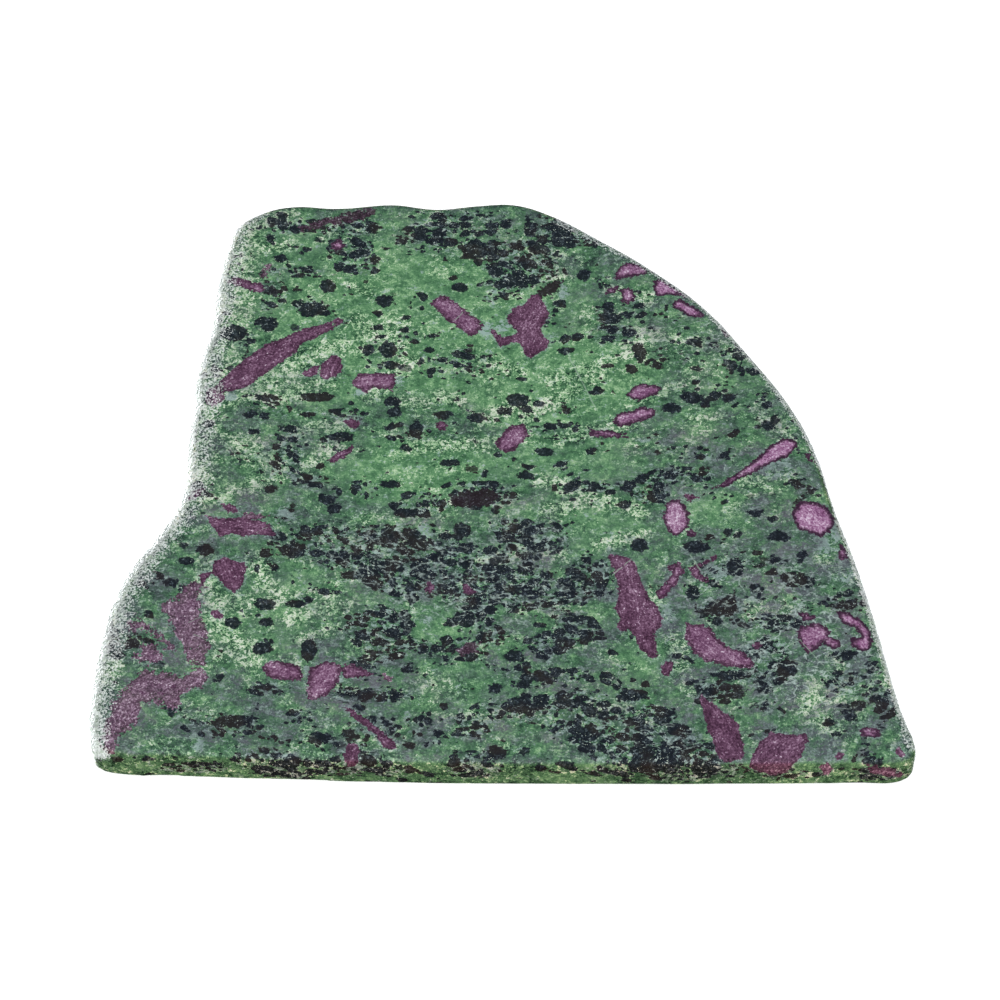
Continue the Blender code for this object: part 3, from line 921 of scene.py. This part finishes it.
def ruby_colour(net, places, look, depth_in, grit):
    """The crystals' purple, mottled, striped along each crystal, and paler and pinker in some."""
    pink, rim, _ = net.split(look.outputs["Color"])
    along, across, shade = net.split(net.layer("ruby_axes").outputs["Vector"])
    stripes = net.grit(net.join(net.times(along, 0.25), across, 0.0), 0.8, 3)
    tone = net.add(net.times(grit, 1.15), net.times(stripes, 0.45))
    tone = net.add(tone, net.times(net.grit(places, 5.0, 2), 0.35))
    tone = net.less(tone, net.times(shade, 0.6))
    heart = net.times(net.ramp(depth_in, 0.3, 1.1), pink)
    colour = net.paint(heart, net.tones(tone, PLUM_TONES), net.tones(tone, PINK_TONES))
    edge = net.times(net.ramp(depth_in, 0.25, 0.85, 1.0, 0.0), rim)
    colour = net.paint(net.times(edge, 0.8), colour, RIM_PURPLE)
    smoke = net.paint(0.5, net.tones(net.add(tone, 1.2), BLACK_TONES), BROWN_BLACK)
    return net.paint(net.ramp(shade, 0.0, 2.0, 0.0, 0.9), colour, smoke)


def rubies(net, stone, places, zones):
    """The stone with its ruby crystals, their frayed outlines and the pale zoisite round some."""
    reach = net.layer("ruby").outputs["Fac"]
    look = net.layer("ruby_look")
    halo = look.outputs["Alpha"]
    cover = net.split(look.outputs["Color"])[2]
    specks = net.ramp(net.add(zones["fine"], net.times(zones["tiny"][1], 0.5)), 2.1, 3.0)
    grit = net.add(net.times(zones["grit"], 0.22), net.times(zones["tiny"][2], 0.4))
    grit = net.add(grit, net.times(zones["fine"], 0.45))
    grit = net.add(grit, net.times(zones["felt"], 0.08))
    grit = net.times(grit, net.ramp(cover, 0.7, 1.0, 1.35, 1.0))
    grit = net.add(grit, net.times(specks, 1.8))
    frayed = net.add(net.times(net.grit(places, 1.8, 3), 1.0), 0.4)
    reach = net.add(reach, net.times(net.less(1.14, cover), frayed))
    reach = net.add(reach, net.times(zones["felt"], 0.05))
    pale = net.times(net.ramp(reach, 0.0, 0.9, 1.0, 0.0), halo)
    stone = net.paint(net.times(pale, net.ramp(grit, -0.6, 0.8)), stone, MILKY)
    inside = net.ramp(reach, -0.08, 0.1, 1.0, 0.0)
    colour = ruby_colour(net, places, look, net.times(reach, -1.0), grit)
    solid = net.ramp(cover, 0.0, 1.0, 0.4, 1.0)
    return net.paint(net.times(inside, solid), stone, colour)


def cracks(net, colour, places):
    """Fine pale cracks and scratches, drawn where they show on the top face."""
    x, y, _ = net.split(places)
    flat = net.join(x, y, 0.0)
    flat = net.shake(flat, 2.0, 0.35)
    for x1, y1, x2, y2, width in CRACKS:
        start, end = (Vector((*place, 0.0)) for place in on_top(((x1, y1), (x2, y2))))
        way = end - start
        offset = net.vector("SUBTRACT", flat, start)
        share = net.math("DIVIDE", net.vector("DOT_PRODUCT", offset, way, output=1), way.length_squared)
        share = net.node("ShaderNodeClamp", {0: share}).outputs[0]
        on_line = net.vector("MULTIPLY", net.join(share, share, share), way)
        gap = net.vector("LENGTH", net.vector("SUBTRACT", offset, on_line), output=1)
        line = net.ramp(gap, width * 0.3, width, 0.45, 0.0)
        colour = net.paint(line, colour, CRACK)
    return colour


def stone_material():
    material = bpy.data.materials.new("ruby_in_zoisite")
    material.use_nodes = True
    net = Net(material.node_tree)
    surface = material.node_tree.nodes["Principled BSDF"]
    at = net.node("ShaderNodeTexCoord").outputs["Object"]
    places = net.vector("MULTIPLY", at, (1 / MM, 1 / MM, 1 / MM))
    layered = layered_places(net, places)
    look = net.layer("zones")
    dark, flecked, milky = net.split(look.outputs["Color"])
    height = net.split(places)[2]
    upper = net.ramp(height, TOP / MM - 3.2, TOP / MM - 1.2)
    # the band below the top face's edge where the rim is frosted and its highlight painted
    shoulder_band = net.ramp(height, TOP / MM - 5.0, TOP / MM - 2.4)
    frost_and_highlight = net.times(net.layer("frost_and_highlight").outputs["Fac"], shoulder_band)
    zones = {
        "dark": dark,
        "flecked": flecked,
        "milky": milky,
        "clear": look.outputs["Alpha"],
        "grain": net.layer("grain").outputs["Fac"],
        "vivid": net.layer("vivid").outputs["Fac"],
        "top": net.ramp(height, TOP / MM - 0.7, TOP / MM - 0.2),
        "grit": net.grit(places, 2.2, 4),
        "felt": felt(net, places),
        "fine": net.grit(places, 0.42, 2),
        "frost_and_highlight": frost_and_highlight,
        "outer": net.times(net.ramp(height, TOP / MM - 1.1, TOP / MM - 0.1, 1.0, 0.0), frost_and_highlight),
        "hazy": net.layer("hazy").outputs["Fac"],
        "veined": net.layer("veined").outputs["Fac"],
        "tiny": net.crumbs(places, 0.33),
        "small": net.crumbs(net.shake(places, 0.5, 0.12), 0.7),
        "large": net.crumbs(net.shake(layered, 0.8, 0.25), 1.5),
    }
    stone = dark_stone(net, places, layered, zones)
    colour = rubies(net, stone, places, zones)
    colour = cracks(net, colour, places)
    # painted light: the sides get a yellower copy of the colour than the top face
    warm_lit_sides = net.vector("MULTIPLY", colour, SIDES_LIT_WARMER)
    colour = net.paint(zones["top"], warm_lit_sides, colour)
    colour = frosted_and_highlit(net, colour, zones)
    net.tree.links.new(colour, surface.inputs["Base Color"])
    worn = net.ramp(height, TOP / MM - 0.9, TOP / MM - 0.02, 1.0, 0.0)
    polish = net.ramp(net.noise(places, 0.8), 0.35, 0.65, 0.2, 0.32)
    polish = net.add(polish, net.times(worn, 0.04))
    net.tree.links.new(polish, surface.inputs["Roughness"])
    surface.inputs["IOR"].default_value = 1.6
    rough = net.times(net.add(net.times(worn, 2.4), net.times(frost_and_highlight, 0.9)), upper)
    pits = net.times(net.grit(places, 0.9, 2), net.add(rough, 0.3))
    bump = net.node("ShaderNodeBump", {"Height": pits, "Distance": 0.012 * MM, "Strength": 1.0})
    net.tree.links.new(bump.outputs[0], surface.inputs["Normal"])
    return material


# ------------------------------------------------------- the slab in its studio

FLOOR_SIDE = 40.0
FLOOR_GAP = 0.05 * MM
FLOOR_WHITE = (0.9, 0.9, 0.9, 1.0)
FLOOR_GLOW = 0.6
SKY = (0.078, 0.113, 0.172, 1.0)
BELOW = (0.02, 0.02, 0.02, 1.0)
BACKDROP = (1.0, 1.03, 1.06, 1.0)
KEY_LIGHT = (1.0, 0.97, 0.93)
RIM_LIGHT = (0.95, 0.98, 1.0)


def add_slab():
    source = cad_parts[NODE]
    slab = remeshed(source)
    fit_to(slab.data, source)
    soften(slab)
    pebble(slab.data)
    slab.data.shade_smooth()
    add_layers(slab.data)
    slab.data.materials.clear()
    slab.data.materials.append(stone_material())
    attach(slab, "root")
    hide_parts(NODE)
    return slab


def add_floor():
    half = FLOOR_SIDE / 2
    mesh = bpy.data.meshes.new("floor")
    corners = [(-half, -half, 0), (half, -half, 0), (half, half, 0), (-half, half, 0)]
    mesh.from_pydata(corners, [], [(0, 1, 2, 3)])
    floor = bpy.data.objects.new("floor", mesh)
    floor.location.z = -FLOOR_GAP
    bpy.context.scene.collection.objects.link(floor)
    material = bpy.data.materials.new("white_paper")
    material.use_nodes = True
    surface = material.node_tree.nodes["Principled BSDF"]
    surface.inputs["Base Color"].default_value = FLOOR_WHITE
    surface.inputs["Roughness"].default_value = 0.9
    surface.inputs["Emission Color"].default_value = FLOOR_WHITE
    surface.inputs["Emission Strength"].default_value = FLOOR_GLOW
    mesh.materials.append(material)
    floor.visible_glossy = False
    floor.visible_shadow = False


def add_softbox(name, place, width, height, brightness, colour, mirrored):
    """A soft light turned to the slab, of this brightness. The polish mirrors it or it lights."""
    data = bpy.data.lights.new(name, "AREA")
    data.shape = "RECTANGLE"
    data.size = width
    data.size_y = height
    data.color = colour
    data.energy = brightness * width * height * np.pi
    light = bpy.data.objects.new(name, data)
    light.location = place
    light.rotation_euler = (-Vector(place)).to_track_quat("-Z", "Y").to_euler()
    light.visible_camera = False
    light.visible_diffuse = not mirrored
    light.visible_glossy = mirrored
    bpy.context.scene.collection.objects.link(light)


def add_sky():
    """What the polish mirrors: a dim sky, dark below it and white paper low down at the back."""
    world = bpy.data.worlds.new("studio")
    world.use_nodes = True
    net = Net(world.node_tree)
    background = world.node_tree.nodes["Background"]
    direction = net.node("ShaderNodeTexCoord").outputs["Generated"]
    _, back, height = net.split(direction)
    paper = net.times(net.ramp(height, -0.6, -0.25, 1.0, 0.0), net.ramp(back, 0.2, 0.55))
    light = net.paint(paper, net.paint(net.ramp(height, -0.05, 0.05), BELOW, SKY), BACKDROP)
    seen = net.node("ShaderNodeLightPath").outputs["Is Camera Ray"]
    net.tree.links.new(net.paint(seen, light, (1.0, 1.0, 1.0, 1.0)), background.inputs["Color"])
    bpy.context.scene.world = world


def add_lights():
    add_softbox("key", (0.0, -0.7, 1.6), 1.6, 1.6, 4.85, KEY_LIGHT, mirrored=False)
    add_softbox("left", (-1.2, 0.9, -0.9), 1.5, 2.0, 7.5, RIM_LIGHT, mirrored=True)
    add_softbox("right", (0.6, 0.95, -1.35), 1.3, 0.5, 3.0, RIM_LIGHT, mirrored=True)


add_camera()
add_floor()
add_sky()
add_lights()
add_slab()
bpy.context.scene.view_settings.view_transform = "Standard"
